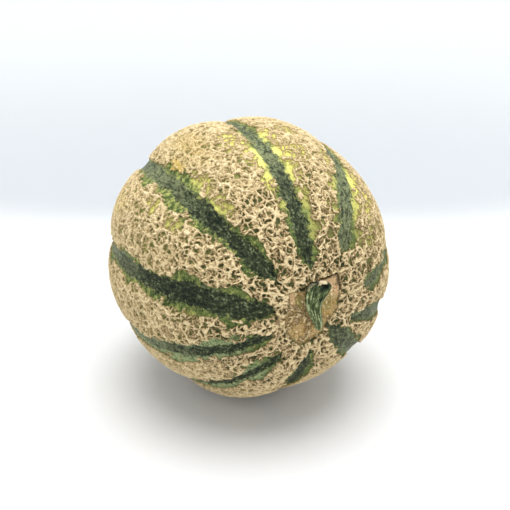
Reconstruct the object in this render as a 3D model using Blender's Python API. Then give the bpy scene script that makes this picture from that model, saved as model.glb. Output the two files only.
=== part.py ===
"""Cantaloupe melon: one ribbed fruit lying on its side, and the torn stub of stem left on its stem end.

Metres, +Z up. The stem end faces -Y and the blossom end +Y. The fruit rests on a small flat spot
at z = 0, under the middle of its box.
"""

import math

import bmesh
import bpy

# Driving dimensions of the fruit
EQUATOR_RADIUS = 0.0695  # from the stem axis to the crest of a common rib, at mid-length
HALF_LENGTH = 0.0755  # from the middle to either end, before the dimples
SUTURE_ANGLES = (12.4, 59.6, 95.2, 133.6, 169.9, 201.8, 230.4, 266.0, 313.7, 344.0)
RIB_RISES_MM = (-1.4, -0.4, 0.5, 0.2, -0.5, -1.2, 1.4, -2.2, -0.2, -0.6)  # above a common rib
SUTURE_SINKS_MM = (0.0, 0.0, 0.0, 0.0, 0.0, 0.0, 1.0, 3.0, 1.5, 0.0)  # deeper than a common suture
GROOVE_DEPTH = 0.0022  # of a suture below the crests beside it
CREST_ROUNDNESS = 0.55  # below 1, ribs are broad and sutures narrow
STEM_DIMPLE_DEPTH = 0.0030
BLOSSOM_DIMPLE_DEPTH = 0.0025
DIMPLE_RADIUS = 0.0200
GROUND_ANGLE = 270.0  # the side that lay on the soil, pointing down
GROUND_SPREAD = 22.0  # degrees over which the ribs fade out round the flat spot
FLAT_DEPTH = 0.0015  # how much of the underside the flat spot takes off

# Driving dimensions of the stub, on the stem end, from the stem axis
STUB_TOP = 0.0150
STUB_BOTTOM = -0.0050
STUB_HALF_WIDTH = 0.0058
STUB_TIP_HALF_WIDTH = 0.0020
STUB_LEAN = 0.0012  # how far the tip sits to one side of the flared end
STUB_THICKNESS = 0.0050
CONTACT_GAP = 0.0005  # clear space between the stub and the rind

# Mesh density
STRIPS_PER_RIB = 8
RINGS = 38
STUB_SEGMENTS = 20
STUB_RINGS = 14

# Working values
MM_PER_METRE = 1000.0
END_FADE = 0.8  # how the ribs flatten out towards the ends
NEAR_AXIS = 1e-6
CUTTER_SIDE = 0.2500
PARTS = "cantaloupe_melon"
CUTTERS = "cutters"


def clear_scene():
    for old in list(bpy.data.objects):
        bpy.data.objects.remove(old)


def new_collection(name):
    collection = bpy.data.collections.new(name)
    bpy.context.scene.collection.children.link(collection)
    return collection


def principled(name, color, roughness):
    material = bpy.data.materials.new(name)
    material.use_nodes = True
    shader = material.node_tree.nodes["Principled BSDF"]
    shader.inputs["Base Color"].default_value = (*color, 1.0)
    shader.inputs["Roughness"].default_value = roughness
    shader.inputs["Metallic"].default_value = 0.0
    return material


def add_object(name, mesh, collection, material):
    part = bpy.data.objects.new(name, mesh)
    mesh.materials.append(material)
    collection.objects.link(part)
    return part


def rib_position(around):
    """Angle in degrees -> (rib number, how far across that rib from 0 to 1)."""
    count = len(SUTURE_ANGLES)
    for rib in range(count):
        start = SUTURE_ANGLES[rib]
        width = (SUTURE_ANGLES[(rib + 1) % count] - start) % 360.0
        across = ((around - start) % 360.0) / width
        if across <= 1.0:
            return rib, across
    return 0, 0.0


def rib_relief(around):
    """How far the rind stands above the sutures' depth, at mid-length."""
    rib, across = rib_position(around)
    crest = GROOVE_DEPTH + RIB_RISES_MM[rib] / MM_PER_METRE
    first = SUTURE_SINKS_MM[rib]
    second = SUTURE_SINKS_MM[(rib + 1) % len(SUTURE_ANGLES)]
    sink = (first + (second - first) * across) / MM_PER_METRE
    return crest * math.sin(math.pi * across) ** CREST_ROUNDNESS - sink


def ground_fade(around, along):
    """1 at the resting spot, 0 well away from it."""
    turn = (around - GROUND_ANGLE + 180.0) % 360.0 - 180.0
    slide = math.degrees(along) - 90.0
    return math.exp(-(turn * turn + slide * slide) / (GROUND_SPREAD * GROUND_SPREAD))


def end_dimple(radius, along):
    depth = STEM_DIMPLE_DEPTH if along < math.pi / 2.0 else BLOSSOM_DIMPLE_DEPTH
    return depth * math.exp(-((radius / DIMPLE_RADIUS) ** 2))


def rind_point(along, around):
    """Point of the rind: along runs from 0 at the stem end to pi, around is in degrees."""
    sunk = (GROOVE_DEPTH - rib_relief(around)) * (1.0 - ground_fade(around, along))
    radius = EQUATOR_RADIUS * math.sin(along) - sunk * math.sin(along) ** END_FADE
    end = math.copysign(end_dimple(radius, along), math.cos(along))
    turn = math.radians(around)
    return (radius * math.cos(turn), end - HALF_LENGTH * math.cos(along), radius * math.sin(turn))


def stem_face(x, z):
    """Y of the smooth rind on the stem end, at x and z from the stem axis."""
    radius = math.hypot(x, z)
    along = math.asin(min(radius / EQUATOR_RADIUS, 1.0))
    return -HALF_LENGTH * math.cos(along) + end_dimple(radius, along)


def strip_angle(column):
    """Evenly numbered columns -> degrees, with a column on every suture."""
    count = len(SUTURE_ANGLES)
    rib = int(column // STRIPS_PER_RIB) % count
    start = SUTURE_ANGLES[rib]
    width = (SUTURE_ANGLES[(rib + 1) % count] - start) % 360.0
    return start + width * (column % STRIPS_PER_RIB) / STRIPS_PER_RIB


def make_fruit_mesh():
    columns = STRIPS_PER_RIB * len(SUTURE_ANGLES)
    shape = bmesh.new()
    bmesh.ops.create_uvsphere(shape, u_segments=columns, v_segments=RINGS, radius=1.0)
    for vert in shape.verts:
        along = math.acos(max(-1.0, min(1.0, vert.co.z)))
        turn = math.atan2(vert.co.y, vert.co.x) % (2.0 * math.pi)
        column = round(turn / (2.0 * math.pi) * columns) % columns
        vert.co = rind_point(along, strip_angle(column))
    bmesh.ops.recalc_face_normals(shape, faces=shape.faces)
    mesh = bpy.data.meshes.new("melon")
    shape.to_mesh(mesh)
    shape.free()
    mesh.shade_smooth()
    return mesh


def resting_shift(meshes):
    """The move that puts the middle of the whole over the origin and its flat spot at z = 0."""
    points = [vert.co for mesh in meshes for vert in mesh.vertices]
    xs = [point.x for point in points]
    ys = [point.y for point in points]
    zs = [point.z for point in points]
    middle_x = (min(xs) + max(xs)) / 2.0
    middle_y = (min(ys) + max(ys)) / 2.0
    return (-middle_x, -middle_y, -(min(zs) + FLAT_DEPTH))


def make_stub_mesh():
    """A flattened stalk, flared at the top, lying against the stem end and narrowing to its tip."""
    shape = bmesh.new()
    bmesh.ops.create_uvsphere(shape, u_segments=STUB_SEGMENTS, v_segments=STUB_RINGS, radius=1.0)
    for vert in shape.verts:
        down = math.acos(max(-1.0, min(1.0, vert.co.z))) / math.pi
        ring = math.hypot(vert.co.x, vert.co.y)
        across = vert.co.x / ring if ring > NEAR_AXIS else 0.0
        outward = -vert.co.y / ring if ring > NEAR_AXIS else 0.0
        swell = math.sin(math.pi * down) ** 0.5 if 0.0 < down < 1.0 else 0.0
        taper = down * down * (3.0 - 2.0 * down)
        half_width = STUB_HALF_WIDTH + (STUB_TIP_HALF_WIDTH - STUB_HALF_WIDTH) * taper
        x = STUB_LEAN * (down - 0.5) + half_width * swell * across
        z = STUB_TOP + (STUB_BOTTOM - STUB_TOP) * down
        stand = STUB_THICKNESS * swell * (1.0 + outward) / 2.0
        vert.co = (x, stem_face(x, z) - CONTACT_GAP - stand, z)
    bmesh.ops.recalc_face_normals(shape, faces=shape.faces)
    mesh = bpy.data.meshes.new("stem_stub")
    shape.to_mesh(mesh)
    shape.free()
    mesh.shade_smooth()
    return mesh


def add_ground_cutter(collection):
    """A block under z = 0 that flattens the resting spot."""
    bpy.ops.mesh.primitive_cube_add(size=CUTTER_SIDE, location=(0.0, 0.0, -CUTTER_SIDE / 2.0))
    cutter = bpy.context.active_object
    cutter.name = "ground_cutter"
    for owner in list(cutter.users_collection):
        owner.objects.unlink(cutter)
    collection.objects.link(cutter)
    cutter.hide_render = True
    cutter.display_type = "WIRE"
    return cutter


def main():
    clear_scene()
    parts = new_collection(PARTS)
    cutters = new_collection(CUTTERS)

    rind = principled("netted_rind", (0.50, 0.40, 0.24), 0.75)
    stalk = principled("dried_stem", (0.20, 0.27, 0.13), 0.80)

    melon = add_object("melon", make_fruit_mesh(), parts, rind)
    stub = add_object("stem_stub", make_stub_mesh(), parts, stalk)
    shift = resting_shift([melon.data, stub.data])
    melon.location = shift
    stub.location = shift
    cut = melon.modifiers.new("flat_spot", "BOOLEAN")
    cut.operation = "DIFFERENCE"
    cut.solver = "EXACT"
    cut.object = add_ground_cutter(cutters)


main()
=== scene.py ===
import math

import bpy
import numpy as np
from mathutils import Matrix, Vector


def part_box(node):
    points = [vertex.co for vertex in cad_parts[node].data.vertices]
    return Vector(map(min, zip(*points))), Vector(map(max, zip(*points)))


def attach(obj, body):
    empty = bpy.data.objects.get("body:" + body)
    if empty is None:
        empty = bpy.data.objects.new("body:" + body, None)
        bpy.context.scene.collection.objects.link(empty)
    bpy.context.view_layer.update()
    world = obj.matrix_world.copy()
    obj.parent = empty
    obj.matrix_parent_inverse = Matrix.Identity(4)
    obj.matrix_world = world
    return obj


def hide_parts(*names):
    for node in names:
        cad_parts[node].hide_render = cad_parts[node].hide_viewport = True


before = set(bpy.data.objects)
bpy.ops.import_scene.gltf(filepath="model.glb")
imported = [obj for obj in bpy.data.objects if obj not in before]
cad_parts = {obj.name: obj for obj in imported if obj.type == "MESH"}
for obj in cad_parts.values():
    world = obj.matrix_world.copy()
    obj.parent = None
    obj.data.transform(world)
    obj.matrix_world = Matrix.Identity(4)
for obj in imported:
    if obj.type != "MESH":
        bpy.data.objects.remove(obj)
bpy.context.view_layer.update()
melonLow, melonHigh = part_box("melon")
print("frame loaded")

mm = 0.001


def smooth(low, high, x):
    t = np.clip((x - low) / (high - low), 0.0, 1.0)
    return t * t * (3.0 - 2.0 * t)


def blendTo(a, b, t):
    return a + (b - a) * t


def hashed(ix, iy, iz, seed):
    # whole numbers to an even spread in 0..1
    h = (ix.astype(np.uint32) * np.uint32(374761393)
         + iy.astype(np.uint32) * np.uint32(668265263)
         + iz.astype(np.uint32) * np.uint32(2147483647)
         + np.uint32(seed * 974711 + 12345))
    h = (h ^ (h >> np.uint32(13))) * np.uint32(1274126177)
    h = (h ^ (h >> np.uint32(16))) * np.uint32(2246822519)
    h = h ^ (h >> np.uint32(15))
    return h.astype(np.float32) * np.float32(1.0 / 4294967296.0)


def noise(points, size, seed, octaves=1):
    # value noise from -1 to 1, points in mm, size is the width of its largest blotches
    total = np.zeros(points.shape[:-1], np.float32)
    height, norm = 1.0, 0.0
    for octave in range(octaves):
        q = points / (size * 0.5 ** octave) + 17.3 * (octave + seed)
        cell = np.floor(q).astype(np.int64)
        f = (q - cell).astype(np.float32)
        f = f * f * f * (f * (f * 6.0 - 15.0) + 10.0)
        x0, y0, z0 = cell[..., 0], cell[..., 1], cell[..., 2]
        layers = []
        for dz in (0, 1):
            rows = []
            for dy in (0, 1):
                a = hashed(x0, y0 + dy, z0 + dz, seed + octave)
                b = hashed(x0 + 1, y0 + dy, z0 + dz, seed + octave)
                rows.append(blendTo(a, b, f[..., 0]))
            layers.append(blendTo(rows[0], rows[1], f[..., 1]))
        total += height * (2.0 * blendTo(layers[0], layers[1], f[..., 2]) - 1.0)
        norm += height
        height *= 0.5
    return total / norm


def cellEdges(points, normals, size, seed):
    # distance in mm, along the surface, to the wall between the two nearest seeds of a random foam,
    # and the lot that the nearest seed drew, from 0 to 1
    q = points / size
    cell = np.floor(q).astype(np.int64)
    shape = points.shape[:-1]
    near = np.full(shape, 1e9, np.float32)
    second = np.full(shape, 1e9, np.float32)
    nearSeed = np.zeros(points.shape, np.float32)
    secondSeed = np.zeros(points.shape, np.float32)
    for dx in (-1, 0, 1):
        for dy in (-1, 0, 1):
            for dz in (-1, 0, 1):
                ix, iy, iz = cell[..., 0] + dx, cell[..., 1] + dy, cell[..., 2] + dz
                spot = np.stack((ix + hashed(ix, iy, iz, seed),
                                 iy + hashed(ix, iy, iz, seed + 1),
                                 iz + hashed(ix, iy, iz, seed + 2)), -1).astype(np.float32)
                away = ((q - spot) ** 2).sum(-1)
                first = away < near
                runnerUp = ~first & (away < second)
                secondSeed = np.where(first[..., None], nearSeed, secondSeed)
                second = np.where(first, near, second)
                nearSeed = np.where(first[..., None], spot, nearSeed)
                near = np.where(first, away, near)
                secondSeed = np.where(runnerUp[..., None], spot, secondSeed)
                second = np.where(runnerUp, away, second)
    across = secondSeed - nearSeed
    apart = np.sqrt((across ** 2).sum(-1)) + 1e-6
    wall = (second - near) / (2.0 * apart)
    slant = np.abs((across * normals).sum(-1)) / apart
    home = np.floor(nearSeed).astype(np.int64)
    lot = hashed(home[..., 0], home[..., 1], home[..., 2], seed + 7)
    return wall * size / np.sqrt(np.maximum(1.0 - slant ** 2, 0.12)), lot


fruit = {
    "equatorRadius": 69.5,  # mm, from the stem axis to a rib's crest
    "halfLength": 75.5,
    "sutures": (12.4, 59.6, 95.2, 133.6, 169.9, 201.8, 230.4, 266.0, 313.7, 344.0),  # degrees round
    "ribRise": (-1.4, -0.4, 0.5, 0.2, -0.5, -1.2, 1.4, -2.2, -0.2, -0.6),  # mm over a common rib
    "sutureSink": (0.0, 0.0, 0.0, 0.0, 0.0, 0.0, 1.0, 3.0, 1.5, 0.0),  # mm under a common suture
    "grooveDepth": 2.2,
    "crestRoundness": 0.55,  # below 1, ribs are broad and sutures narrow
    "grooveDip": 0.05,  # rounds the groove's bottom
    "stemDimple": 3.0,
    "blossomDimple": 2.5,
    "dimpleRadius": 20.0,
    "groundSpread": 22.0,  # degrees
    "sutureWander": 0.9,  # degrees a suture strays from its line
    "lumps": 0.45,  # mm of slow unevenness
}

mesh = {
    "step": 0.30,  # mm between points at the widest place
    "mostTriangles": 198000,  # of one rib
    "stemCap": 16.5,  # degrees from the stem axis where the scar's disc meets the ribs
    "blossomCap": 168.0,
    "capShare": 4,  # a cap has one column for this many of the ribs'
    "capFineness": 0.75,  # of a cap's rows, against the ribs'
    "capRadius": 70.0,
    "poleGap": 0.004,  # radians from the axis to a cap's first row, which is gathered on the axis
    "weld": 0.001,  # mm
    "flatten": 0.06,  # mm over which the net is pressed flat on the ground
}


def ribPlace(around):
    # degrees -> rib number, share across it, and degrees to its two sutures
    sutures = np.array(fruit["sutures"])
    turn = (around - sutures[0]) % 360.0
    starts = (sutures - sutures[0]) % 360.0
    rib = np.searchsorted(starts, turn, side="right") - 1
    ends = np.append(starts[1:], 360.0)
    before = turn - starts[rib]
    after = ends[rib] - turn
    return rib, before / (before + after), before, after


def smoothRind(along, around):
    # radians from the stem end, degrees round -> mm, before the net is raised
    rib, across, _, _ = ribPlace(around)
    crest = fruit["grooveDepth"] + np.array(fruit["ribRise"])[rib]
    half, dip = 0.5 * fruit["crestRoundness"], fruit["grooveDip"]
    lift = (np.sin(np.pi * across) ** 2 + dip) ** half - dip ** half
    relief = crest * lift / ((1.0 + dip) ** half - dip ** half)
    sinks = np.array(fruit["sutureSink"])
    relief = relief - blendTo(sinks[rib], sinks[(rib + 1) % len(sinks)], across)
    turn = (around - 270.0 + 180.0) % 360.0 - 180.0
    slide = np.degrees(along) - 90.0
    grounded = np.exp(-(turn ** 2 + slide ** 2) / fruit["groundSpread"] ** 2)
    sunk = (fruit["grooveDepth"] - relief) * (1.0 - grounded)
    radius = fruit["equatorRadius"] * np.sin(along) - sunk * np.sin(along) ** 0.8
    depth = np.where(along < np.pi / 2.0, fruit["stemDimple"], fruit["blossomDimple"])
    dimple = np.copysign(depth * np.exp(-(radius / fruit["dimpleRadius"]) ** 2), np.cos(along))
    angle = np.radians(around)
    y = dimple - fruit["halfLength"] * np.cos(along)
    return np.stack((radius * np.cos(angle), y, radius * np.sin(angle)), -1)


def restingShift():
    # mm from the fruit's own centre to the frame, so that it lies in its CAD solid
    along, around = np.meshgrid(np.linspace(0.01, np.pi - 0.01, 240), np.linspace(0.0, 360.0, 721))
    points = smoothRind(along, around)
    low, high = points.reshape(-1, 3).min(0), points.reshape(-1, 3).max(0)
    cadLow, cadHigh = np.array(melonLow) / mm, np.array(melonHigh) / mm
    shift = (cadLow + cadHigh - low - high) / 2.0
    shift[2] = cadHigh[2] - high[2]
    return shift


shift = restingShift()
print("fruit placed, shift in mm", np.round(shift, 2))


# one row per suture: where its stripe starts and where it pales, in degrees from the stem, and its
# half width in mm at the angles in stripeKnots
stripeKnots = (15.0, 30.0, 45.0, 60.0, 80.0, 110.0, 150.0)
stripes = (
    {"start": 21.0, "pale": 12.0, "half": (1.3, 1.8, 2.0, 2.2, 2.6, 2.8, 1.8)},
    {"start": 22.0, "pale": 20.0, "half": (1.4, 3.1, 3.7, 3.5, 2.9, 2.8, 2.0)},
    {"start": 14.5, "pale": 46.0, "half": (1.8, 2.9, 3.2, 3.3, 2.6, 1.8, 1.8)},
    {"start": 20.5, "pale": 62.0, "half": (1.7, 2.8, 4.0, 4.0, 3.0, 2.6, 2.0)},
    {"start": 13.5, "pale": 72.0, "half": (2.4, 4.4, 4.8, 3.8, 3.3, 2.9, 2.0)},
    {"start": 17.5, "pale": 52.0, "half": (1.4, 2.2, 2.8, 3.1, 2.9, 2.8, 2.0)},
    {"start": 19.0, "pale": 60.0, "half": (1.5, 2.0, 2.2, 2.2, 2.4, 2.8, 1.8)},
    {"start": 15.0, "pale": 60.0, "half": (1.7, 2.0, 2.2, 2.0, 1.5, 2.0, 1.7)},
    {"start": 13.5, "pale": 14.0, "half": (5.0, 4.4, 2.8, 2.4, 2.6, 2.8, 1.8)},
    {"start": 16.5, "pale": 16.0, "half": (2.4, 3.0, 2.4, 2.4, 2.6, 2.8, 1.8)},
)

# places where the net is thin: degrees round, degrees from the stem, radius in mm, yellowness
bareSpots = (
    (51.0, 46.0, 6.0, 0.6),
    (51.0, 58.0, 6.0, 0.9),
    (42.0, 52.0, 6.5, 1.0),
    (36.0, 38.0, 5.5, 0.45),
    (30.0, 46.0, 5.0, 0.5),
    (27.0, 28.0, 4.0, 0.1),
    (43.0, 25.0, 3.8, 0.1),
    (16.0, 41.0, 3.6, 0.2),
    (75.0, 20.0, 3.0, 0.1),
    (44.0, 34.0, 4.0, 0.3),
    (68.0, 62.0, 4.2, 0.9),
    (68.0, 50.0, 3.8, 0.55),
    (70.0, 38.0, 4.0, 0.3),
    (75.0, 27.0, 3.6, 0.15),
    (80.0, 62.0, 4.4, 0.8),
    (79.0, 76.0, 5.0, 0.9),
    (101.5, 62.0, 5.0, 1.0),
    (104.0, 73.0, 6.2, 1.0),
    (101.0, 50.0, 3.4, 0.7),
    (101.0, 40.0, 2.4, 0.4),
    (88.5, 73.0, 5.0, 1.0),
    (88.5, 62.0, 4.6, 0.9),
    (88.0, 52.0, 4.4, 0.65),
    (87.0, 42.0, 4.4, 0.45),
    (85.0, 31.0, 4.0, 0.3),
    (125.0, 50.0, 4.2, 0.55),
    (124.0, 61.0, 4.6, 0.6),
    (145.0, 60.0, 3.4, 0.45),
    (144.0, 72.0, 3.4, 0.7),
    (186.0, 33.0, 3.2, 0.0),
    (181.0, 45.0, 3.0, 0.2),
    (193.0, 34.0, 3.6, 0.0),
    (209.0, 36.0, 3.4, 0.0),
    (217.0, 27.0, 2.6, 0.0),
    (159.0, 66.0, 2.6, 0.2),
)

# ochre blemishes: degrees round, degrees from the stem, radius in mm, strength
ripeSpots = (
    (127.0, 77.0, 3.4, 1.0),
    (118.0, 80.0, 8.0, 0.35),
    (150.0, 96.0, 6.0, 0.3),
    (270.0, 88.0, 24.0, 0.8),
)

margins = {
    "fray": 1.1,  # mm a stripe's edge strays, finely and slowly
    "sway": 0.9,
    "tipPull": 5.0,  # mm by which a stripe narrows to its tip
    "least": 1.0,  # mm of bare skin beside a stripe, and how much more there can be
    "spread": 3.8,
    "nearStem": 0.25,  # share of that width left at the stem
    "softness": 2.6,
}

net = {
    "coarseCell": 5.6,  # mm
    "fineCell": 2.6,
    "coarseHalf": 0.74,  # half the width of a strand
    "fineHalf": 0.46,
    "wormSizes": (2.0, 1.5),  # mm, of the winding fibres between and over the strands
    "wormHalf": 0.31,
    "filledShare": 0.22,  # of the meshes, those that cork has half filled
    "height": 1.2,
    "poleStretch": 9.0,  # mm from the stem axis where the cells start to lie along the ribs
    "warp": 1.1,  # mm the strands stray from straight
    "curl": 0.20,  # finer than the warp
}


def tube(away, half):
    # the round top of a strand, 1 on its middle line
    return np.sqrt(np.clip(1.0 - (away / half) ** 2, 0.0, 1.0))


def suturePlace(along, around, points):
    # the nearest suture: its number, and signed mm to its wandering line
    rib, _, before, after = ribPlace(around)
    count = len(fruit["sutures"])
    nearest = np.where(before < after, rib, (rib + 1) % count)
    degrees = np.where(before < after, before, -after)
    wander = fruit["sutureWander"] * noise(points, 30.0, 21, 2)
    radius = np.hypot(points[..., 0], points[..., 2])
    return nearest, np.radians(degrees + wander) * radius


def stripeHalf(nearest, along):
    degrees = np.degrees(along)
    half = np.zeros_like(along)
    for number, stripe in enumerate(stripes):
        mine = nearest == number
        half[mine] = np.interp(degrees[mine], stripeKnots, stripe["half"])
    return half


def stripeStart(nearest):
    return np.array([stripe["start"] for stripe in stripes])[nearest]


def netPlace(points):
    # the net's own space, in which cells near the stem and the blossom end come out long
    radius = np.hypot(points[..., 0], points[..., 2]) + 1e-6
    grown = np.sqrt(radius ** 2 + net["poleStretch"] ** 2) / radius
    q = points * np.stack((grown, np.ones_like(grown), grown), -1)
    shove = np.stack([noise(points, 2.4, seed, 2) for seed in (31, 32, 33)], -1)
    curl = np.stack([noise(points, 1.0, seed) for seed in (34, 35, 36)], -1)
    return q + net["warp"] * shove + net["curl"] * curl


def skinFields(along, around, points, normals):
    degrees = np.degrees(along)
    nearest, offset = suturePlace(along, around, points)
    half = stripeHalf(nearest, along)
    start = stripeStart(nearest)
    frayed = margins["fray"] * noise(points, 3.4, 41, 2) + margins["sway"] * noise(points, 10.0, 42)
    reach = smooth(start - 4.0, start + 5.0, degrees + 4.0 * noise(points, 4.0, 43))
    reach *= smooth(172.0, 160.0, degrees)
    edge = np.abs(offset) - half + frayed + margins["tipPull"] * (1.0 - reach)

    spots = np.zeros_like(along)
    lemon = np.zeros_like(along)
    ripe = np.zeros_like(along)
    for turn, tilt, size, amount in ripeSpots:
        dx = np.radians((around - turn + 180.0) % 360.0 - 180.0) * np.sin(along)
        dy = along - np.radians(tilt)
        far = np.hypot(dx, dy * 0.5) * fruit["equatorRadius"] + 2.0 * noise(points, 4.0, 48, 2)
        ripe = np.maximum(ripe, amount * smooth(size * 1.4, size * 0.3, far))
    for turn, tilt, size, yellow in bareSpots:
        dx = np.radians((around - turn + 180.0) % 360.0 - 180.0) * np.sin(along)
        dy = along - np.radians(tilt)
        far = np.hypot(dx, dy * 0.6) * fruit["equatorRadius"] + 2.4 * noise(points, 3.0, 44, 2)
        here = smooth(size * 1.3, size * 0.4, far)
        spots = np.maximum(spots, here * smooth(-0.95, -0.25, noise(points, 2.6, 87, 2)))
        lemon = np.maximum(lemon, here * yellow)

    broad = smooth(-0.4, 0.7, noise(points, 9.0, 45, 2))
    marginWidth = margins["least"] + margins["spread"] * broad
    marginWidth *= blendTo(margins["nearStem"], 1.0, smooth(16.0, 36.0, degrees))
    covered = smooth(-0.4, 1.6, edge - marginWidth)
    islands = smooth(0.25, 0.5, noise(points, 3.4, 49, 2)) * smooth(0.0, 1.5, edge)
    covered = np.clip(np.maximum(covered - 0.85 * spots, 0.8 * islands), 0.0, 1.0)
    margin = smooth(marginWidth + margins["softness"], marginWidth - 0.6, edge) * reach

    place = netPlace(points)
    coarse, _ = cellEdges(place, normals, net["coarseCell"], 51)
    fine, lot = cellEdges(place + 50.0, normals, net["fineCell"], 61)
    taper = covered ** 0.5 + 1e-3
    rough = noise(points, 1.2, 88)
    cut = smooth(-0.85, -0.45, noise(points, 2.2, 89))
    coarseHalf = net["coarseHalf"] * (1.0 + 0.45 * noise(points, 6.0, 46, 2) + 0.25 * rough) * taper
    fineHalf = net["fineHalf"] * (1.0 + 0.35 * noise(points, 4.0, 47, 2) + 0.25 * rough)
    fineHalf *= 1.0 + 0.7 * smooth(net["filledShare"] + 0.05, net["filledShare"] - 0.05, lot)
    fineHalf = fineHalf * taper * cut + 1e-4
    lower = (0.82 + 0.2 * noise(points, 2.6, 50)) * tube(fine, fineHalf)
    strands = np.maximum(tube(coarse, coarseHalf), lower)
    worms = [tube(np.abs(noise(place, size, 81 + number)) * size / 1.7, net["wormHalf"])
             for number, size in enumerate(net["wormSizes"])]
    worm = np.maximum(worms[0], 0.9 * worms[1])
    over = strands * (0.66 + 0.34 * worm)
    stray = smooth(-0.35, 0.35, noise(points, 2.8, 86, 2)) * smooth(0.2, 0.8, covered)
    strands = np.maximum(over, 0.62 * worm * stray) * smooth(0.02, 0.2, covered)
    paleFrom = np.array([stripe["pale"] for stripe in stripes])[nearest]
    pale = smooth(paleFrom - 14.0, paleFrom + 24.0, degrees + 6.0 * noise(points, 7.0, 90))
    mint = np.where((nearest == 5) | (nearest == 6), 1.0, 0.0) * smooth(24.0, 34.0, degrees)
    return {"pale": pale, "mint": mint, "net": strands, "edge": edge, "margin": margin,
            "lemon": lemon, "offset": offset, "ripe": ripe}


scar = {
    "corners": ((10.0, 14.4), (5.1, 13.8), (-1.8, 12.6), (-4.8, 10.1), (-11.4, 10.3), (-11.4, 5.4),
                (-13.5, -0.2), (-11.8, -8.2), (-6.3, -13.7), (0.5, -12.0), (4.7, -9.2), (7.2, -3.3),
                (10.3, 0.4), (10.9, 6.9)),  # mm, X and Z from the stem axis
    "sunk": 0.5,  # mm the corky floor lies under the net
    "lip": 0.55,
    "crackDepth": 0.9,
    "crackOut": 1.1,  # mm from the lip to the crack round it
    "warts": 0.55,
}


def outlineDistance(x, z, corners):
    # signed mm to a closed outline, negative inside
    best = np.full_like(x, 1e9)
    inside = np.zeros(x.shape, bool)
    for (x0, z0), (x1, z1) in zip(corners, corners[1:] + corners[:1]):
        t = ((x - x0) * (x1 - x0) + (z - z0) * (z1 - z0)) / ((x1 - x0) ** 2 + (z1 - z0) ** 2)
        t = np.clip(t, 0.0, 1.0)
        best = np.minimum(best, np.hypot(x - x0 - t * (x1 - x0), z - z0 - t * (z1 - z0)))
        crosses = (z0 > z) != (z1 > z)
        side = x < (x1 - x0) * (z - z0) / (z1 - z0 + 1e-9) + x0
        inside ^= crosses & side
    return np.where(inside, -best, best)


def bump(x, middle, width):
    return np.exp(-((x - middle) / width) ** 2)


def scarFields(points, fields):
    # the torn corky ring on the stem end; height in mm, and where its parts are
    x, z = points[..., 0], points[..., 2]
    far = outlineDistance(x, z, scar["corners"]) + 0.5 * noise(points, 2.6, 71, 2)
    far = np.where(points[..., 1] > 0.0, 30.0, far)
    inside = smooth(0.4, -0.4, far)
    top = smooth(7.0, 9.5, z) * smooth(-8.0, -5.0, x)
    left = smooth(-9.8, -11.3, x) * smooth(0.05, 0.3, noise(points, 5.0, 72))
    cracked = np.maximum(top, left)
    crack = bump(far, scar["crackOut"], 0.26) * cracked
    right = smooth(6.5, 8.5, x)
    lips = (0.12 + 0.88 * np.maximum(top, right)) * bump(far, 0.0, 0.6)
    lips *= smooth(-0.8, 0.2, noise(points, 3.0, 77))
    lips += 0.7 * bump(far, scar["crackOut"] + 0.7, 0.4) * cracked
    warty = smooth(4.0, -3.0, z + 0.5 * x + 2.0 * noise(points, 4.0, 75))
    grit = noise(points, 2.2, 73, 3)
    floor = -scar["sunk"] + scar["warts"] * (0.3 * (1.0 - warty) + 0.5 * warty) * grit
    height = inside * floor + scar["lip"] * lips * (0.7 + 0.6 * noise(points, 1.6, 74))
    height -= scar["crackDepth"] * crack
    tufts = 0.85 * warty * smooth(-0.25, 0.25, noise(points, 3.0, 76, 2))
    keep = np.maximum(smooth(-0.3, 1.2, far), tufts)
    fields["net"] = fields["net"] * keep * (1.0 - 0.8 * np.clip(crack * 1.3, 0.0, 1.0))
    fields["scar"] = np.clip(inside + 0.9 * lips, 0.0, 1.0)
    left = np.hypot((x + 7.2) / 2.6, (z - 5.4) / 4.2) + 0.25 * noise(points, 2.0, 78)
    right = np.hypot((x - 6.2) / 3.6, (z - 4.0) / 5.8) + 0.25 * noise(points, 2.0, 79)
    fields["olive"] = np.maximum(smooth(1.0, 0.5, left), 0.8 * smooth(1.0, 0.5, right))
    fields["peach"] = np.maximum(smooth(8.0, 11.0, z + 0.25 * x) * smooth(-2.0, 4.0, x),
                                smooth(-8.0, -10.0, x) * smooth(4.0, 6.5, z))
    fields["crack"] = crack
    return height


def surfaceNormals(points):
    # outward unit normals of a grid whose rows run from stem to blossom and columns go round
    sideways = np.roll(points, -1, 1) - np.roll(points, 1, 1)
    down = np.gradient(points, axis=0)
    normals = np.cross(down, sideways)
    return normals / (np.linalg.norm(normals, axis=-1, keepdims=True) + 1e-12)


def raisedSkin(rows, columns):
    # every field of the skin on one grid, and its points with the net raised, in mm in the frame
    along, around = np.meshgrid(rows, columns, indexing="ij")
    smoothPoints = smoothRind(along, around)
    normals = surfaceNormals(smoothPoints)
    lumps = fruit["lumps"] * noise(smoothPoints, 26.0, 11, 2)[..., None]
    base = smoothPoints + normals * lumps
    fields = skinFields(along, around, base, normals)
    torn = scarFields(base, fields)
    height = torn + net["height"] * fields["net"]
    height = height + 0.05 * noise(base, 1.1, 12, 2) * (1.0 - fields["net"])
    fields["arc"] = along * fruit["halfLength"]
    points = base + normals * height[..., None] + shift
    floor = mesh["flatten"] * fields["net"]
    points[..., 2] = np.maximum(points[..., 2], floor)
    fields["normals"] = surfaceNormals(points)
    fields["points"] = points
    return fields


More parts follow.
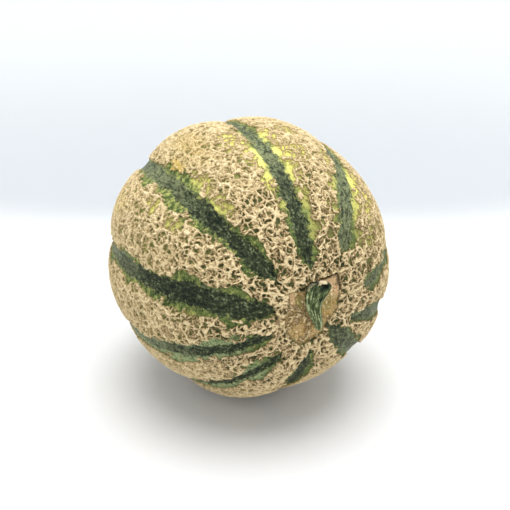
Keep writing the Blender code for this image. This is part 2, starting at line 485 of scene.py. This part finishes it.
def gridPiece(name, rowTotal, columnTotal):
    # a flat primitive grid, to be moved point by point: its X runs along the fruit, its Y round it
    bpy.ops.object.select_all(action="DESELECT")
    bpy.ops.mesh.primitive_grid_add(x_subdivisions=rowTotal - 1, y_subdivisions=columnTotal - 1,
                                    size=1.0)
    piece = bpy.context.active_object
    piece.name = name
    piece.data.name = name
    piece.data.uv_layers[0].name = "OFBake"
    return piece


def setPoints(piece, points):
    piece.data.vertices.foreach_set("co", points.astype(np.float32).ravel())
    piece.data.polygons.foreach_set("use_smooth", np.ones(len(piece.data.polygons), bool))
    piece.data.update()


def weld(piece, within, inward=None):
    # joins points that lie on each other; inward, if given, says which way the faces then turn
    bpy.ops.object.mode_set(mode="EDIT")
    bpy.ops.mesh.select_all(action="SELECT")
    bpy.ops.mesh.remove_doubles(threshold=within)
    if inward is not None:
        bpy.ops.mesh.normals_make_consistent(inside=inward)
    bpy.ops.object.mode_set(mode="OBJECT")


def setField(piece, name, values):
    attribute = piece.data.attributes.new(name, "FLOAT", "POINT")
    attribute.data.foreach_set("value", values.astype(np.float32).ravel())


shown = ("net", "edge", "margin", "lemon", "offset", "arc", "ripe", "pale", "mint",
         "scar", "crack", "olive", "peach")  # the fields that the rind's material reads


def movePoints(piece, fields, rows, columns):
    # the grid's points run fastest along its X, so the arrays are turned to match
    pick = (slice(rows[0], rows[1]), slice(columns[0], columns[1]))
    setPoints(piece, fields["points"][pick].transpose(1, 0, 2) * mm)
    for name in shown:
        setField(piece, name, fields[name][pick].T)
    normals = fields["normals"][pick].transpose(1, 0, 2).reshape(-1, 3)
    piece.data.normals_split_custom_set_from_vertices(normals)


def ribColumns():
    # columns per rib, a whole number of cap columns each
    widths = np.diff(np.append(fruit["sutures"], fruit["sutures"][0] + 360.0))
    most = mesh["mostTriangles"] / 2.0 / rowCount()
    counts = []
    for width in widths:
        wanted = math.radians(width) * fruit["equatorRadius"] / mesh["step"]
        wanted = min(wanted, most)
        counts.append(int(wanted // mesh["capShare"]) * mesh["capShare"])
    return widths, counts


def rowCount():
    arc = math.radians(mesh["blossomCap"] - mesh["stemCap"]) * fruit["halfLength"]
    return int(arc / mesh["step"])


widths, counts = ribColumns()
columns = np.concatenate([start + width * np.arange(count) / count
                          for start, width, count in zip(fruit["sutures"], widths, counts)])
rows = np.radians(np.linspace(mesh["stemCap"], mesh["blossomCap"], rowCount() + 1))
print("rows", len(rows), "columns", len(columns), "rib columns", counts)

skin = raisedSkin(rows, columns)
print("skin worked out")
skin = {name: np.concatenate((field, field[:, :1]), 1) for name, field in skin.items()}


def straighten(points, row, share):
    # a row at the ribs' ends is straight between the caps' columns, so that the two meet with no gap
    anchors = points[row, ::share]
    steps = (np.arange(share) / share).reshape(1, share, 1)
    filled = anchors[:-1, None] * (1.0 - steps) + anchors[1:, None] * steps
    points[row, :-1] = filled.reshape(-1, 3)


for row in (0, -1):
    straighten(skin["points"], row, mesh["capShare"])

ribs = []
firstColumn = 0
for number, count in enumerate(counts):
    rib = gridPiece("rind_rib_%02d" % (number + 1), len(rows), count + 1)
    movePoints(rib, skin, (0, len(rows)), (firstColumn, firstColumn + count + 1))
    firstColumn += count
    ribs.append(rib)
print("ribs made", len(ribs))


def capPiece(name, capRows, rimRow):
    # a disc round the stem axis: a grid closed into a ring, with its first row gathered at the axis
    capColumns = columns[::mesh["capShare"]]
    fields = raisedSkin(capRows, capColumns)
    pole = 0 if rimRow == 0 else -1
    rim = -1 if rimRow == 0 else 0
    fields["points"][pole] = fields["points"][pole].mean(0)
    fields["points"][rim] = skin["points"][rimRow, :-1:mesh["capShare"]]
    fields["normals"] = surfaceNormals(fields["points"])
    fields["normals"][rim] = skin["normals"][rimRow, :-1:mesh["capShare"]]
    fields["normals"][pole] = (0.0, -1.0 if rimRow == 0 else 1.0, 0.0)
    fields = {key: np.concatenate((field, field[:, :1]), 1) for key, field in fields.items()}
    cap = gridPiece(name, len(capRows), len(capColumns) + 1)
    movePoints(cap, fields, (0, len(capRows)), (0, len(capColumns) + 1))
    kept = cap.data.attributes.new("outward", "FLOAT_VECTOR", "POINT")
    kept.data.foreach_set("vector", fields["normals"].transpose(1, 0, 2).astype(np.float32).ravel())
    weld(cap, mesh["weld"] * mm)
    size = len(cap.data.vertices)
    outward = np.zeros(size * 3, np.float32)
    cap.data.attributes["outward"].data.foreach_get("vector", outward)
    cap.data.normals_split_custom_set_from_vertices(outward.reshape(-1, 3))
    cap.data.attributes.remove(cap.data.attributes["outward"])
    mapFromEnd(cap)
    return cap


def mapFromEnd(cap):
    # a cap's UV map is its plan, seen along the stem axis
    places = np.zeros(len(cap.data.vertices) * 3, np.float32)
    cap.data.vertices.foreach_get("co", places)
    flat = places.reshape(-1, 3)[:, (0, 2)]
    flat = (flat - flat.min(0)) / (flat.max(0) - flat.min(0))
    corners = np.zeros(len(cap.data.loops), np.int32)
    cap.data.loops.foreach_get("vertex_index", corners)
    cap.data.uv_layers[0].data.foreach_set("uv", flat[corners].astype(np.float32).ravel())


capStep = mesh["capFineness"] * (mesh["step"] / mesh["capRadius"])
stemRows = np.arange(mesh["poleGap"], rows[0], capStep)
stemScar = capPiece("stem_scar", np.append(stemRows, rows[0]), 0)
endRows = np.arange(np.pi - mesh["poleGap"], rows[-1], -capStep)[::-1]
blossomEnd = capPiece("blossom_end", np.insert(endRows, 0, rows[-1]), -1)
print("caps made")


stub = {
    # mm from the stem axis: height (Z), left and right edge (X), and how far its middle stands out
    # of the scar
    "stations": ((14.1, -0.8, 2.2, 0.2), (13.8, -3.4, 4.4, 1.2), (12.5, -4.7, 6.0, 1.7),
                 (10.7, -5.4, 5.5, 2.0), (9.2, -5.8, 4.3, 2.3), (7.4, -5.9, 2.6, 2.8),
                 (5.6, -5.9, 1.4, 3.2), (3.0, -5.2, 1.0, 3.7), (0.0, -3.9, 1.1, 4.2),
                 (-2.6, -2.6, 1.6, 4.5), (-5.0, -1.5, 1.0, 4.5), (-6.1, -1.0, -0.1, 4.2)),
    "rows": 150,
    "columns": 220,
    "thickness": (2.6, 1.5),  # mm of its body at the top and at the tip
    "scoop": 1.9,  # mm, the hollow in its broad end
    "ridge": 0.38,
}


def stubPoints(along, turn):
    # along 0..1 from the torn top to the tip, turn 0..2 pi round it -> mm in the frame, and fields
    stations = np.array(stub["stations"])
    where = np.linspace(0.0, 1.0, len(stations))
    z, left, right, out = (np.interp(along, where, stations[:, n]) for n in range(4))
    topEnd = np.sin(np.pi * np.clip(along * 8.0, 0.0, 0.5))
    tipEnd = np.sin(np.pi * np.clip((1.0 - along) * 14.0, 0.0, 0.5))
    soft = topEnd * tipEnd
    across = np.cos(turn)
    front = np.sin(turn)
    thick = blendTo(stub["thickness"][0], stub["thickness"][1], along) * soft
    x = (left + right) / 2.0 - across * (right - left) / 2.0 * (0.25 + 0.75 * soft)
    line = np.stack((across * 4.0 + 9.0, along * 3.0, np.sign(front) * 2.0), -1)
    ridge = 0.6 * noise(line, 0.62, 91, 2) + 0.4 * noise(line * (1.0, 3.0, 1.0), 0.9, 92, 2)
    scoop = smooth(0.58, 0.30, along) * smooth(0.03, 0.12, along)
    scoop = scoop * smooth(0.95, 0.4, np.abs(across + 0.2))
    crossways = np.stack((across * 4.0, along * 14.0, 0.0 * along), -1)
    pits = smooth(0.1, 0.7, noise(crossways, 2.2, 93, 2))
    deep = scoop * (0.45 + 0.75 * pits)
    face = np.maximum(front, 0.0) ** 0.7
    y = np.where(front > 0.0, -(out + thick * 0.5 * face),
                 -(out - thick * np.abs(front) ** 0.7 - 0.4))
    y = y + np.where(front > 0.0, face * (stub["scoop"] * deep - stub["ridge"] * ridge), 0.0)
    z = z + 0.25 * noise(line * (2.0, 0.0, 1.0), 1.0, 94) * smooth(0.3, 0.0, along) * 3.0
    dimple = fruit["stemDimple"] * np.exp(-(x ** 2 + z ** 2) / fruit["dimpleRadius"] ** 2)
    base = shift[1] - fruit["halfLength"] + dimple
    points = np.stack((x + shift[0], y + base, z + shift[2]), -1)
    rim = smooth(0.13, 0.06, along) * smooth(0.75, 0.1, across)
    rim = np.maximum(rim, 0.6 * smooth(0.75, 1.0, across) * smooth(0.4, 0.2, along))
    return points, {"ridge": ridge, "deep": deep, "rim": rim, "lengthwise": along}


def makeStub():
    # a closed skin: a grid rolled up round the stub's length and gathered at both ends
    piece = gridPiece("dried_stub", stub["rows"], stub["columns"] + 1)
    lengths = np.linspace(0.0, 1.0, stub["rows"])
    turns = np.linspace(0.0, 2.0 * np.pi, stub["columns"] + 1)
    along, turn = np.meshgrid(lengths, turns, indexing="ij")
    turn[:, -1] = 0.0
    points, fields = stubPoints(along, turn)
    points[0] = points[0].mean(0)
    points[-1] = points[-1].mean(0)
    setPoints(piece, points.transpose(1, 0, 2) * mm)
    for name, values in fields.items():
        setField(piece, name, values.T)
    weld(piece, mesh["weld"] * mm, inward=False)
    return piece


driedStub = makeStub()
print("stub made")


class Wire:
    # one socket of a shader: sums on wires add the nodes for them
    def __init__(self, tree, socket=None):
        self.tree, self.socket = tree, socket

    def node(self, kind, settings=None, inputs=None, output=0):
        made = self.tree.nodes.new(kind)
        for key, value in (settings or {}).items():
            setattr(made, key, value)
        for key, value in (inputs or {}).items():
            if isinstance(value, Wire):
                self.tree.links.new(value.socket, made.inputs[key])
            elif value is not None:
                made.inputs[key].default_value = value
        return Wire(self.tree, made.outputs[output])

    def math(self, operation, *values):
        return self.node("ShaderNodeMath", {"operation": operation}, dict(enumerate(values)))

    def __add__(self, other):
        return self.math("ADD", self, other)

    def __radd__(self, other):
        return self.math("ADD", other, self)

    def __sub__(self, other):
        return self.math("SUBTRACT", self, other)

    def __rsub__(self, other):
        return self.math("SUBTRACT", other, self)

    def __mul__(self, other):
        return self.math("MULTIPLY", self, other)

    def __rmul__(self, other):
        return self.math("MULTIPLY", other, self)

    def __truediv__(self, other):
        return self.math("DIVIDE", self, other)

    def ramp(self, low, high, toLow=0.0, toHigh=1.0):
        values = {"Value": self, "From Min": low, "From Max": high,
                  "To Min": toLow, "To Max": toHigh}
        return self.node("ShaderNodeMapRange", {"interpolation_type": "SMOOTHSTEP"}, values)

    def color(self, amount, first, second):
        # first where amount is 0, second where it is 1
        first = first if isinstance(first, Wire) else (*first, 1.0)
        second = second if isinstance(second, Wire) else (*second, 1.0)
        inputs = {0: amount, 6: first, 7: second}
        return self.node("ShaderNodeMix", {"data_type": "RGBA"}, inputs, 2)

    def field(self, name):
        return self.node("ShaderNodeAttribute", {"attribute_name": name}, output="Fac")

    def place(self):
        return self.node("ShaderNodeTexCoord", output="Object")

    def cloud(self, size, detail=2.0, rough=0.5, vector=None):
        # noise about 0.5; size in mm
        values = {"Vector": vector or self.place(), "Scale": 1.0 / (size * mm), "Detail": detail,
                  "Roughness": rough}
        return self.node("ShaderNodeTexNoise", {"noise_dimensions": "3D"}, values)


def newMaterial(name):
    material = bpy.data.materials.new(name)
    material.use_nodes = True
    tree = material.node_tree
    tree.nodes.clear()
    return material, Wire(tree)


def finishMaterial(wire, color, roughness, height=None, depth=0.0, spec=0.5):
    values = {"Base Color": color, "Roughness": roughness, "Specular IOR Level": spec}
    if height is not None:
        bumps = {"Height": height, "Distance": depth * mm, "Strength": 1.0}
        values["Normal"] = wire.node("ShaderNodeBump", inputs=bumps)
    shader = wire.node("ShaderNodeBsdfPrincipled", inputs=values)
    out = wire.tree.nodes.new("ShaderNodeOutputMaterial")
    wire.tree.links.new(shader.socket, out.inputs["Surface"])


rindLook = {
    # the light cork colour is a painted highlight on the strands' crests, and also pale flecks on
    # the scar
    "corkPaleAndHighlight": (0.84, 0.71, 0.45),
    "corkMid": (0.58, 0.445, 0.235),
    # the dark cork colour is painted shade at the strands' feet near the stem, and also dark flecks
    # on the scar; the foot colour is painted shade at their feet further from the stem
    "corkDarkAndShade": (0.17, 0.11, 0.05),
    "corkFootShade": (0.32, 0.24, 0.11),
    "gapNear": (0.030, 0.044, 0.016),
    "gapNearLight": (0.12, 0.15, 0.045),
    "gapFar": (0.12, 0.125, 0.038),
    "gapFarLight": (0.33, 0.33, 0.10),
    "marginDark": (0.045, 0.075, 0.020),
    "marginGreen": (0.12, 0.155, 0.045),
    "marginYellow": (0.36, 0.38, 0.11),
    "mint": (0.29, 0.35, 0.17),
    "lemon": (0.86, 0.80, 0.22),
    "stripeDark": (0.006, 0.011, 0.006),
    "stripeMid": (0.034, 0.044, 0.020),
    "stripeLight": (0.17, 0.20, 0.105),
    "stripePale": (0.23, 0.26, 0.13),
    "ochre": (0.54, 0.39, 0.10),
    "scarTan": (0.53, 0.37, 0.17),
    "scarOchre": (0.35, 0.225, 0.065),
    "scarOlive": (0.24, 0.21, 0.05),
    "peach": (0.66, 0.43, 0.23),
    "crack": (0.055, 0.035, 0.02),
}


def makeRind():
    look = rindLook
    material, w = newMaterial("netted_rind")
    netHeight, edge, far = w.field("net"), w.field("edge"), w.field("arc").ramp(32.0, 92.0)
    margin, lemon = w.field("margin"), w.field("lemon")
    grain = w.cloud(0.5, 3.0, 0.6)
    blotch = w.cloud(1.9, 3.0, 0.6)
    slow = w.cloud(11.0, 2.0, 0.5)

    gap = w.color(blotch.ramp(0.4, 0.66), look["gapNear"], look["gapNearLight"])
    gapFar = w.color(blotch.ramp(0.36, 0.64), look["gapFar"], look["gapFarLight"])
    skin = w.color(far * (slow.ramp(0.3, 0.6, 0.6, 1.0)), gap, gapFar)
    speckle = blotch + (grain - 0.5) * 0.6
    side = w.color(speckle.ramp(0.38, 0.52), look["marginDark"], look["marginGreen"])
    side = w.color((speckle + far * 0.10).ramp(0.56, 0.76), side, look["marginYellow"])
    side = w.color(w.field("mint") * (grain + blotch).ramp(0.75, 1.1), side, look["mint"])
    skin = w.color(margin, skin, side)
    skin = w.color(lemon * (blotch + grain * 0.3).ramp(0.36, 0.66), skin, look["lemon"])

    lengthwise = w.node("ShaderNodeCombineXYZ", inputs={"X": w.field("offset") * mm,
                                                        "Y": w.field("arc") * (0.42 * mm)})
    streak = w.cloud(1.5, 3.0, 0.65, lengthwise) * 0.5 + w.cloud(0.9, 3.0, 0.65) * 0.5
    streak = streak + (slow - 0.5) * 0.16 + (w.cloud(3.0, 2.0, 0.5) - 0.5) * 0.14
    stripe = w.color(streak.ramp(0.42, 0.54), look["stripeDark"], look["stripeMid"])
    stripe = w.color(streak.ramp(0.54, 0.63), stripe, look["stripeLight"])
    pale = w.color(streak.ramp(0.41, 0.56), look["stripeMid"], look["stripePale"])
    stripe = w.color(w.field("pale") * 0.78, stripe, pale)
    inStripe = (edge + (blotch - 0.5) * 5.0 + (grain - 0.5) * 3.0).ramp(0.9, -0.3)
    skin = w.color(inStripe, skin, stripe)

    fibre = w.math("ABSOLUTE", w.cloud(1.0, 1.0, 0.5) - 0.5).ramp(0.075, 0.0)
    # painted highlight: the cork turns lighter towards each strand's crest, where the net stands
    # highest; fibre and grain add their own tone
    top = netHeight * 0.75 + fibre * 0.3 + (grain - 0.5) * 0.3
    # painted shade: low on each strand, at its foot, the cork is coloured dark brown, darkest near
    # the stem
    footShade = w.color(far, look["corkDarkAndShade"], look["corkFootShade"])
    cork = w.color(top.ramp(0.35, 0.60), footShade, look["corkMid"])
    cork = w.color(top.ramp(0.58, 0.95), cork, look["corkPaleAndHighlight"])
    cork = w.color(w.field("ripe") * blotch.ramp(0.2, 0.6), cork, look["ochre"])
    inNet = (netHeight + (grain - 0.5) * 0.35).ramp(0.16, 0.36)

    patchy = (blotch + (grain - 0.5) * 0.5).ramp(0.36, 0.66)
    torn = w.color(patchy, look["scarOchre"], look["scarTan"])
    torn = w.color(w.field("peach"), torn, look["peach"])
    olive = w.field("olive") * (grain + blotch).ramp(0.6, 1.1, 1.0, 0.75)
    torn = w.color(olive, torn, look["scarOlive"])
    torn = w.color(w.cloud(1.0, 3.0, 0.65).ramp(0.54, 0.66), torn, look["corkPaleAndHighlight"])
    torn = w.color(w.cloud(0.9, 3.0, 0.65).ramp(0.46, 0.34), torn, look["corkDarkAndShade"])
    color = w.color(w.field("scar"), skin, torn)
    color = w.color(inNet, color, cork)
    color = w.color(w.field("crack").ramp(0.25, 0.8), color, look["crack"])

    height = grain * 0.5 + fibre * 0.5
    finishMaterial(w, color, inNet.ramp(0.0, 1.0, 0.55, 0.85), height, 0.25, spec=0.12)
    return material


rindMaterial = makeRind()
for piece in ribs + [stemScar, blossomEnd]:
    piece.data.materials.append(rindMaterial)
    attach(piece, "root")
    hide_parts("melon")
print("rind finished")


stubLook = {
    # the dark colour is painted shade in the scoop's hollows and between the ridges, as well as the
    # stub's own dark green
    "darkGreenAndShade": (0.008, 0.014, 0.007),
    "green": (0.058, 0.084, 0.028),
    # the pale colour is a painted highlight on the ridges and towards the tip, as well as the stub's
    # paler fibres
    "pale": (0.34, 0.38, 0.20),
    "cream": (0.62, 0.52, 0.34),
}


def makeStubMaterial():
    look = stubLook
    material, w = newMaterial("dried_stem")
    ridge, deep, rim = w.field("ridge"), w.field("deep"), w.field("rim")
    grain = w.cloud(0.6, 3.0, 0.6)
    # painted highlight: the stub is coloured paler on its raised ridges and towards its tip, mixed
    # with random tone from the grain
    light = ridge * 0.6 + (grain - 0.5) * 0.9 + w.field("lengthwise") * 0.3 + 0.28
    color = w.color(light.ramp(0.16, 0.42), look["darkGreenAndShade"], look["green"])
    color = w.color(light.ramp(0.42, 0.75), color, look["pale"])
    # painted shade: the hollows of the scoop are coloured dark
    color = w.color(deep.ramp(0.25, 0.9), color, look["darkGreenAndShade"])
    color = w.color((rim + (grain - 0.5) * 0.9).ramp(0.5, 0.95), color, look["cream"])
    finishMaterial(w, color, 0.7, grain, 0.25, spec=0.15)
    return material


driedStub.data.materials.append(makeStubMaterial())
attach(driedStub, "root")
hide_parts("stem_stub")
print("stub finished")


studio = {
    "flat": 0.30,  # m of level floor round the fruit
    "wallFrom": (0.205, 0.325),  # m behind the fruit where the white floor turns to the grey of the wall's painted shade
    "curve": 0.45,  # m, the radius of the bend from floor to wall
    "rise": 0.9,  # m of wall over it
    "rings": 64,
    "spokes": 96,
    "white": (0.72, 0.72, 0.72),
    "wallShadeLow": (0.49, 0.515, 0.54),  # painted shade of the wall at the floor and from greyTo upwards
    "wallShadeHigh": (0.63, 0.65, 0.66),
    "greyTo": 0.20,
    "air": (0.94, 0.97, 1.0, 1.0),
    "airStrength": 0.11,
    "azimuth": -23.5,
    "elevation": 21.0,
    "fieldOfView": 45.0,
    "distance": 0.3180,  # m from the camera to the fruit's middle
    "aim": (0.0042, 0.0001),  # m the picture's middle lies right of and above the fruit's
}


def makeSweep():
    # floor and wall in one turned surface, the same from every side
    bpy.ops.object.select_all(action="DESELECT")
    bpy.ops.mesh.primitive_grid_add(x_subdivisions=studio["rings"], y_subdivisions=studio["spokes"],
                                    size=1.0)
    floor = bpy.context.active_object
    floor.name = "studio_sweep"
    count = len(floor.data.vertices)
    co = np.zeros(count * 3, np.float32)
    floor.data.vertices.foreach_get("co", co)
    co = co.reshape(-1, 3)
    out, turn = co[:, 0] + 0.5, (co[:, 1] + 0.5) * 2.0 * np.pi
    flat, curve = studio["flat"], studio["curve"]
    length = flat + curve * np.pi / 2.0 + studio["rise"]
    s = out * length
    bend = np.clip((s - flat) / curve, 0.0, np.pi / 2.0)
    radius = np.minimum(s, flat) + curve * np.sin(bend)
    height = curve * (1.0 - np.cos(bend)) + np.maximum(s - flat - curve * np.pi / 2.0, 0.0)
    setPoints(floor, np.stack((radius * np.cos(turn), radius * np.sin(turn), height), -1))
    weld(floor, 0.1 * mm, inward=True)
    material, w = newMaterial("studio_white")
    up = w.node("ShaderNodeSeparateXYZ", inputs={"Vector": w.place()}, output="Z")
    azimuth = math.radians(studio["azimuth"])
    away = (-math.sin(azimuth), math.cos(azimuth), 0.0)
    behind = w.node("ShaderNodeVectorMath", {"operation": "DOT_PRODUCT"}, {0: w.place(), 1: away},
                    "Value")
    # painted shade: the white sweep is coloured grey behind the fruit, darkest at the wall's foot
    # and paler higher up
    wall = w.color(up.ramp(0.0, studio["greyTo"]), studio["wallShadeLow"], studio["wallShadeHigh"])
    color = w.color(behind.ramp(*studio["wallFrom"]), studio["white"], wall)
    finishMaterial(w, color, 0.9, spec=0.1)
    floor.data.materials.append(material)


makeSweep()


def addLight(name, spot, size, power):
    data = bpy.data.lights.new(name, "AREA")
    data.shape, data.size, data.energy = "DISK", size, power
    light = bpy.data.objects.new(name, data)
    bpy.context.scene.collection.objects.link(light)
    light.location = spot
    towards = np.array((0.0, 0.0, 0.06)) - np.array(spot)
    light.rotation_euler = Vector(towards).to_track_quat("-Z", "Y").to_euler()


addLight("top_softbox", (0.03, -0.02, 0.94), 0.95, 12.8)
addLight("front_fill", (-0.5, -0.9, 0.55), 0.9, 0.4)
world = bpy.data.worlds.new("studio_air")
bpy.context.scene.world = world
world.use_nodes = True
world.node_tree.nodes["Background"].inputs["Color"].default_value = studio["air"]
world.node_tree.nodes["Background"].inputs["Strength"].default_value = studio["airStrength"]


def addCamera():
    azimuth, elevation = math.radians(studio["azimuth"]), math.radians(studio["elevation"])
    back = np.array((math.sin(azimuth) * math.cos(elevation),
                     -math.cos(azimuth) * math.cos(elevation),
                     math.sin(elevation)))
    right = np.array((math.cos(azimuth), math.sin(azimuth), 0.0))
    up = np.cross(back, right)
    middle = shift * mm
    aim = middle + studio["aim"][0] * right + studio["aim"][1] * up
    data = bpy.data.cameras.new("camera")
    data.sensor_width = 36.0
    data.angle = math.radians(studio["fieldOfView"])
    data.clip_start = 0.01
    camera = bpy.data.objects.new("camera", data)
    bpy.context.scene.collection.objects.link(camera)
    camera.location = aim + studio["distance"] * back
    camera.rotation_euler = (math.pi / 2.0 - elevation, 0.0, azimuth)
    bpy.context.scene.camera = camera


addCamera()
bpy.context.scene.view_settings.view_transform = "Standard"
